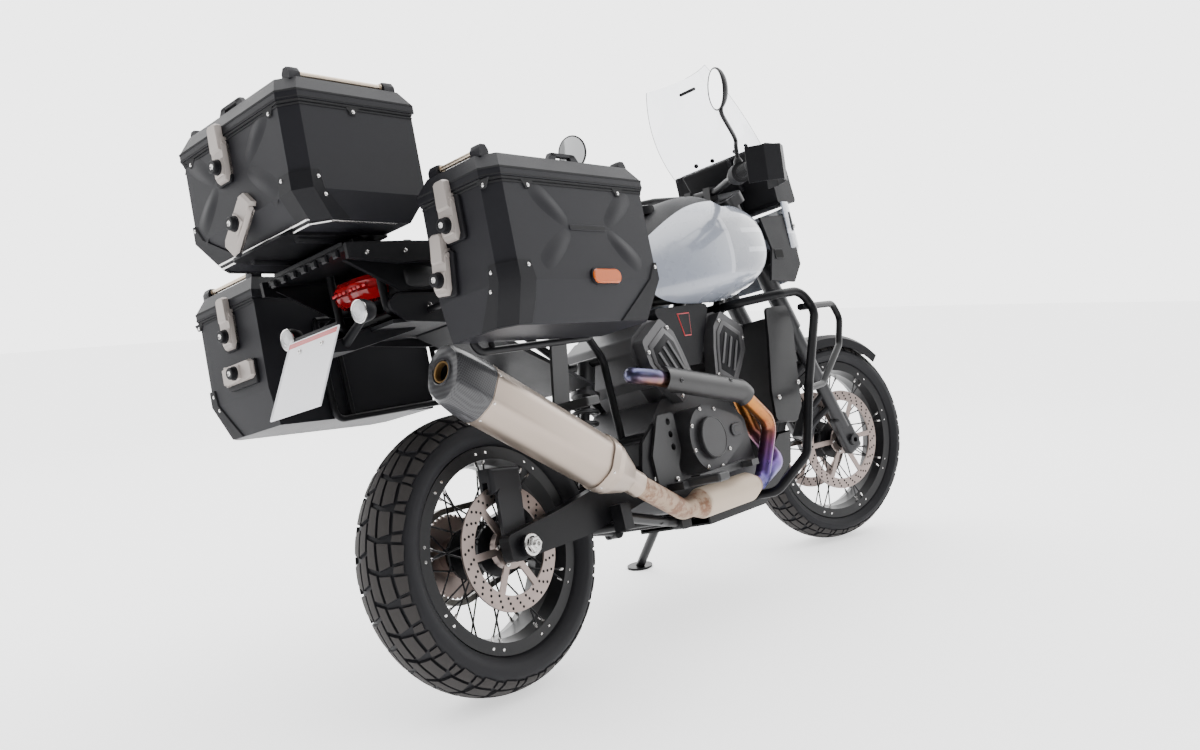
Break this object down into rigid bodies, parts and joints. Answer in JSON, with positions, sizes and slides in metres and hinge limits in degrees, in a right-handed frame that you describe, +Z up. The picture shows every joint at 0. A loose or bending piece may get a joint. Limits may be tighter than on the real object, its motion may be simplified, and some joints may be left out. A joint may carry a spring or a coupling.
{
  "type": "adventure motorcycle with luggage cases",
  "caption": "Adventure motorcycle on its side stand with turned bars, spoked wheels, side and top cases with lids, crash bars and a low exhaust.",
  "frame": {"origin": "on the floor, under the middle of the parked motorcycle's bounding box", "axes": "+X towards the front wheel, +Y to the rider's left, +Z up; the motorcycle leans 14 degrees to its left"},
  "size_m": [2.3476, 1.0903, 1.5331],
  "materials": {
    "black_frame": "satin black paint",
    "engine_case": "dark grey cast",
    "cylinder_metal": "silver grey cast",
    "dark_plastic": "matt black plastic",
    "radiator_metal": "black core",
    "hot_pipe": "heat-coloured steel",
    "link_pipe": "brown steel",
    "heat_shield": "black heat shield",
    "muffler_metal": "satin titanium grey",
    "muffler_end": "dark end cap",
    "body_paint": "gloss light grey",
    "seat_skin": "matt black vinyl",
    "red_lens": "red lens",
    "clear_lens": "clear lens",
    "plate_white": "white blank plate",
    "case_black": "black powder coat",
    "latch_metal": "grey cast",
    "spring_metal": "dark paint",
    "chain_steel": "oiled steel",
    "caliper_metal": "black anodised",
    "disc_steel": "ground steel",
    "screen_clear": "clear screen",
    "foot_metal": "dark steel",
    "tyre_rubber": "dusty tread",
    "rim_black": "black rim, silver spokes",
    "fork_metal": "dark grey",
    "bar_metal": "black",
    "grip_rubber": "matt rubber",
    "mirror_shell": "black shell"
  },
  "bodies": {
    "chassis": {"front_frame": "black_frame", "mid_frame": "black_frame", "tail_frame": "black_frame", "crankcase": "engine_case", "cylinders": "cylinder_metal", "cylinder_covers": "cylinder_metal", "engine_side_covers": "engine_case", "intake_cover": "dark_plastic", "radiator": "radiator_metal", "radiator_shrouds": "black_frame", "exhaust_headers": "hot_pipe", "catalyst_pipe": "link_pipe", "header_shield": "heat_shield", "muffler": "muffler_metal", "muffler_cap": "muffler_end", "fuel_tank": "body_paint", "tank_centre": "dark_plastic", "seats": "seat_skin", "tail_fairing": "dark_plastic", "tail_lamp": "red_lens", "rear_indicators": "clear_lens", "number_plate": "plate_white", "plate_holder": "dark_plastic", "rack": "black_frame", "case_carriers": "black_frame", "side_cases": "case_black", "top_case": "case_black", "case_latches": "latch_metal", "swingarm": "black_frame", "rear_shock": "spring_metal", "chain": "chain_steel", "rear_caliper": "caliper_metal", "crash_bars": "black_frame", "skid_plate": "black_frame", "nose_cowl": "body_paint", "nose_stay": "dark_plastic", "headlight_housing": "dark_plastic", "headlight_lens": "clear_lens", "windscreen": "screen_clear", "footpegs": "foot_metal", "foot_levers": "foot_metal", "stand_brackets": "black_frame"},
    "steering": {"fork": "fork_metal", "front_calipers": "caliper_metal", "front_fender": "dark_plastic", "handlebar": "bar_metal", "grips": "grip_rubber", "handguards": "dark_plastic", "mirrors": "mirror_shell"},
    "right_lid": {"right_lid": "case_black"},
    "left_lid": {"left_lid": "case_black"},
    "top_lid": {"top_lid": "case_black"},
    "side_stand": {"side_stand": "black_frame"},
    "centre_stand": {"centre_stand": "black_frame"},
    "rear_wheel": {"rear_tyre": "tyre_rubber", "rear_wheel": "rim_black", "rear_disc_and_sprocket": "disc_steel"},
    "front_wheel": {"front_tyre": "tyre_rubber", "front_wheel": "rim_black", "front_discs": "disc_steel"}
  },
  "joints": [
    {"name": "steering", "type": "hinge", "parent": "chassis", "child": "steering", "pos_m": [0.53845, -0.04412, 0.89541], "axis": [-0.4239, 0.2193, 0.8788], "range_deg": [-18, 52]},
    {"name": "front_wheel_spin", "type": "hinge", "parent": "steering", "child": "front_wheel", "pos_m": [0.85795, -0.1989, 0.32345], "axis": [0.2651, 0.9578, -0.1111], "continuous": true},
    {"name": "rear_wheel_spin", "type": "hinge", "parent": "chassis", "child": "rear_wheel", "pos_m": [-0.72045, -0.18907, 0.31224], "axis": [0.0004, 0.9703, -0.2419], "continuous": true},
    {"name": "side_stand_fold", "type": "hinge", "parent": "chassis", "child": "side_stand", "pos_m": [0.11471, -0.06239, 0.20148], "axis": [0.1556, 0.7187, 0.6777], "range_deg": [0, 104.3]},
    {"name": "centre_stand_fold", "type": "hinge", "parent": "chassis", "child": "centre_stand", "pos_m": [-0.13735, -0.206, 0.24517], "axis": [-0.0004, -0.9703, 0.2419], "range_deg": [0, 100]},
    {"name": "right_lid_hinge", "type": "hinge", "parent": "chassis", "child": "right_lid", "pos_m": [-0.4492, -0.30314, 1.05387], "axis": [0.0004, 0.9703, -0.2419], "range_deg": [0, 85]},
    {"name": "left_lid_hinge", "type": "hinge", "parent": "chassis", "child": "left_lid", "pos_m": [-0.53294, 0.18623, 0.88356], "axis": [0.0004, 0.9703, -0.2419], "range_deg": [0, 85]},
    {"name": "top_lid_hinge", "type": "hinge", "parent": "chassis", "child": "top_lid", "pos_m": [-0.82122, 0.03916, 1.22748], "axis": [0.0004, 0.9703, -0.2419], "range_deg": [0, 85]}
  ]
}
